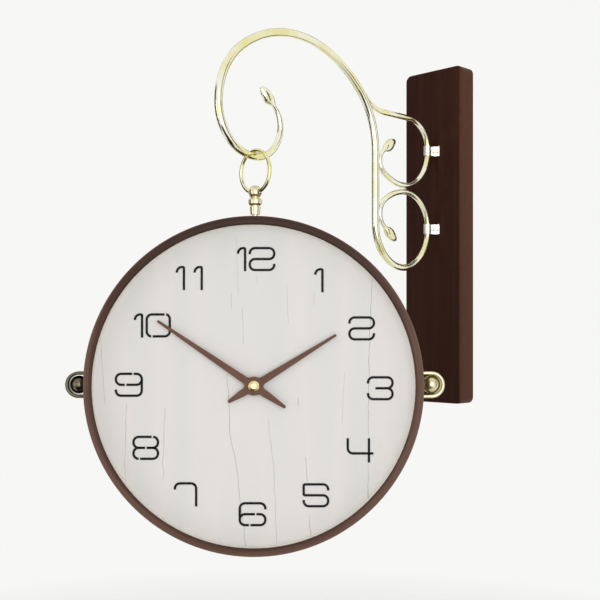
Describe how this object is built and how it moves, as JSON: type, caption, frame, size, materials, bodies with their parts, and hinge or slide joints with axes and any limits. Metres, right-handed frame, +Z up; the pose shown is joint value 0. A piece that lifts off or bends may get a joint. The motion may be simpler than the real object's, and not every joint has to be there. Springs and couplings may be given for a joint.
{
  "type": "double-sided hanging wall clock",
  "caption": "Round wooden clock with a white-washed dial on both sides, hung by a ring from a scrolled brass arm on a dark wooden wall board.",
  "frame": {"origin": "middle of the wall board's back face, on the wall", "axes": "+Y into the wall, -Y into the room along the bracket, +Z up"},
  "size_m": [0.2918, 0.4691, 0.5478],
  "materials": {
    "walnut": "stained and satin lacquered",
    "whitewashed_wood": "thin white wash, matt",
    "cream_board": "painted cream, matt",
    "polished_brass": "polished, pale",
    "plain_brass": "as turned",
    "zinc_steel": "zinc plated",
    "clear_glass": "clear, flat",
    "brown_lacquer": "brown lacquer",
    "black_plastic": "moulded, fine texture",
    "white_acetal": "moulded",
    "grey_plastic": "moulded",
    "cell_jacket": "printed sleeve, plain",
    "copper_enamel": "enamelled winding",
    "green_board": "solder mask"
  },
  "bodies": {
    "wall_bracket": {"wall_board": "walnut", "keyhole_hangers": "zinc_steel", "hanger_screws": "zinc_steel", "main_scroll": "polished_brass", "side_scroll": "polished_brass", "upper_clip": "polished_brass", "lower_clip": "polished_brass", "clip_screws": "polished_brass"},
    "hanging_ring_body": {"hanging_ring": "polished_brass"},
    "swivel_finial": {"finial": "polished_brass", "swivel_washer": "plain_brass", "swivel_nut": "plain_brass"},
    "clock_case": {"case_band": "walnut", "swivel_bush": "plain_brass", "side_loop_left": "polished_brass", "side_loop_right": "polished_brass", "side_knob_left": "polished_brass", "side_knob_right": "polished_brass", "side_knob_nuts": "plain_brass", "front_bezel": "walnut", "front_rim_pins": "zinc_steel", "front_glass": "clear_glass", "front_spacer_ring": "cream_board", "front_dial": "whitewashed_wood", "front_movement_case": "black_plastic", "front_movement_cover": "black_plastic", "front_centre_bush": "plain_brass", "front_dial_nut": "plain_brass", "front_battery": "cell_jacket", "front_battery_contacts": "zinc_steel", "front_drive_coil": "copper_enamel", "front_circuit_board": "green_board", "rear_bezel": "walnut", "rear_rim_pins": "zinc_steel", "rear_glass": "clear_glass", "rear_spacer_ring": "cream_board", "rear_dial": "whitewashed_wood", "rear_movement_case": "black_plastic", "rear_movement_cover": "black_plastic", "rear_centre_bush": "plain_brass", "rear_dial_nut": "plain_brass", "rear_battery": "cell_jacket", "rear_battery_contacts": "zinc_steel", "rear_drive_coil": "copper_enamel", "rear_circuit_board": "green_board"},
    "front_minute": {"front_minute_hand": "brown_lacquer", "front_minute_arbor": "plain_brass", "front_hand_cap": "polished_brass"},
    "front_hour": {"front_hour_hand": "brown_lacquer", "front_hour_pipe": "white_acetal"},
    "front_motion": {"front_motion_wheel": "white_acetal", "front_setting_knob": "grey_plastic"},
    "rear_minute": {"rear_minute_hand": "brown_lacquer", "rear_minute_arbor": "plain_brass", "rear_hand_cap": "polished_brass"},
    "rear_hour": {"rear_hour_hand": "brown_lacquer", "rear_hour_pipe": "white_acetal"},
    "rear_motion": {"rear_motion_wheel": "white_acetal", "rear_setting_knob": "grey_plastic"}
  },
  "joints": [
    {"name": "ring_swing", "type": "hinge", "parent": "wall_bracket", "child": "hanging_ring_body", "pos_m": [0, -0.3232, 0.06293], "axis": [0, 1, 0], "range_deg": [-30, 30]},
    {"name": "finial_swing", "type": "hinge", "parent": "hanging_ring_body", "child": "swivel_finial", "pos_m": [0, -0.3232, 0.02621], "axis": [1, 0, 0], "range_deg": [-30, 15]},
    {"name": "case_swivel", "type": "hinge", "parent": "swivel_finial", "child": "clock_case", "pos_m": [0, -0.3232, -0.00179], "axis": [0, 0, 1], "continuous": true},
    {"name": "front_minute_turn", "type": "hinge", "parent": "clock_case", "child": "front_minute", "pos_m": [0, -0.3232, -0.17179], "axis": [-0.7071, 0.7071, 0], "continuous": true},
    {"name": "front_hour_turn", "type": "hinge", "parent": "clock_case", "child": "front_hour", "pos_m": [0, -0.3232, -0.17179], "axis": [-0.7071, 0.7071, 0], "continuous": true},
    {"name": "front_motion_turn", "type": "hinge", "parent": "clock_case", "child": "front_motion", "pos_m": [0.00849, -0.31472, -0.17179], "axis": [-0.7071, 0.7071, 0], "continuous": true},
    {"name": "rear_minute_turn", "type": "hinge", "parent": "clock_case", "child": "rear_minute", "pos_m": [0, -0.3232, -0.17179], "axis": [0.7071, -0.7071, 0], "continuous": true},
    {"name": "rear_hour_turn", "type": "hinge", "parent": "clock_case", "child": "rear_hour", "pos_m": [0, -0.3232, -0.17179], "axis": [0.7071, -0.7071, 0], "continuous": true},
    {"name": "rear_motion_turn", "type": "hinge", "parent": "clock_case", "child": "rear_motion", "pos_m": [-0.00849, -0.33169, -0.17179], "axis": [0.7071, -0.7071, 0], "continuous": true}
  ],
  "couplings": [
    {"joint": "front_hour_turn", "follows": "front_minute_turn", "ratio": 0.083333},
    {"joint": "front_motion_turn", "follows": "front_minute_turn", "ratio": -0.33333},
    {"joint": "rear_hour_turn", "follows": "rear_minute_turn", "ratio": 0.083333},
    {"joint": "rear_motion_turn", "follows": "rear_minute_turn", "ratio": -0.33333}
  ]
}
